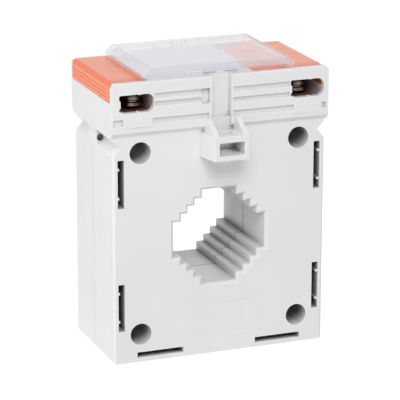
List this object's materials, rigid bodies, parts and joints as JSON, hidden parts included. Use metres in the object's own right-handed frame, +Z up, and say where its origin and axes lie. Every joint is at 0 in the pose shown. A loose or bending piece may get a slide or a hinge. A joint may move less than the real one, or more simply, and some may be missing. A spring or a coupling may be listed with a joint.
{
  "type": "window-type current transformer",
  "caption": "Moulded current transformer with a stepped window for busbars or cable, sliding terminal caps, a clear hinged rating cover and screw terminals.",
  "frame": {"origin": "centre of the base face, under the middle of the body without the clamp lug", "axes": "+X to the right seen from the front, -Y out of the front face along the window, +Z up from the base to the terminal head"},
  "size_m": [0.0722, 0.0474, 0.0947],
  "materials": {
    "shell": "fine matt, light grey",
    "cap": "satin, orange",
    "clear": "clear, glossy",
    "core": "edge of wound steel strip",
    "cup": "matt black",
    "wire": "enamelled copper",
    "tape": "yellow polyester tape",
    "pad": "open foam",
    "lead": "insulated wire",
    "nickel": "nickel plated",
    "plate": "printed film, left bare"
  },
  "bodies": {
    "housing": {"front_shell": "shell", "rear_shell": "shell", "core": "core", "core_cup_front": "cup", "core_cup_rear": "cup", "winding": "wire", "winding_tape": "tape", "pad_front": "pad", "pad_rear": "pad", "lead_left": "lead", "lead_right": "lead", "terminal_bar_left": "nickel", "terminal_bar_right": "nickel", "rating_plate": "plate"},
    "clamp_left": {"clamp_washer_left": "nickel", "spring_washer_left": "nickel"},
    "clamp_right": {"clamp_washer_right": "nickel", "spring_washer_right": "nickel"},
    "screw_left": {"terminal_screw_left": "nickel"},
    "screw_right": {"terminal_screw_right": "nickel"},
    "cap_left": {"cap_left": "cap"},
    "cap_right": {"cap_right": "cap"},
    "cover": {"clear_cover": "clear"}
  },
  "joints": [
    {"name": "cap_left_slide", "type": "slide", "parent": "housing", "child": "cap_left", "axis": [-1, 0, 0], "range_m": [0, 0.01]},
    {"name": "cap_right_slide", "type": "slide", "parent": "housing", "child": "cap_right", "axis": [1, 0, 0], "range_m": [0, 0.01]},
    {"name": "cover_hinge", "type": "hinge", "parent": "housing", "child": "cover", "pos_m": [0, 0.0182, 0.09225], "axis": [-1, 0, 0], "range_deg": [0, 110]},
    {"name": "clamp_left_lift", "type": "slide", "parent": "housing", "child": "clamp_left", "axis": [0, 0, 1], "range_m": [-0.0012, 0.0019]},
    {"name": "screw_left_turn", "type": "hinge", "parent": "clamp_left", "child": "screw_left", "pos_m": [-0.0274, -0.0118, 0.085], "axis": [0, 0, 1], "range_deg": [-617.2, 977.2]},
    {"name": "clamp_right_lift", "type": "slide", "parent": "housing", "child": "clamp_right", "axis": [0, 0, 1], "range_m": [-0.0012, 0.0019]},
    {"name": "screw_right_turn", "type": "hinge", "parent": "clamp_right", "child": "screw_right", "pos_m": [0.0274, -0.0118, 0.085], "axis": [0, 0, 1], "range_deg": [-617.2, 977.2]}
  ],
  "couplings": [
    {"joint": "screw_left_turn", "follows": "clamp_left_lift", "rad_per_m": 8976},
    {"joint": "screw_right_turn", "follows": "clamp_right_lift", "rad_per_m": 8976}
  ]
}
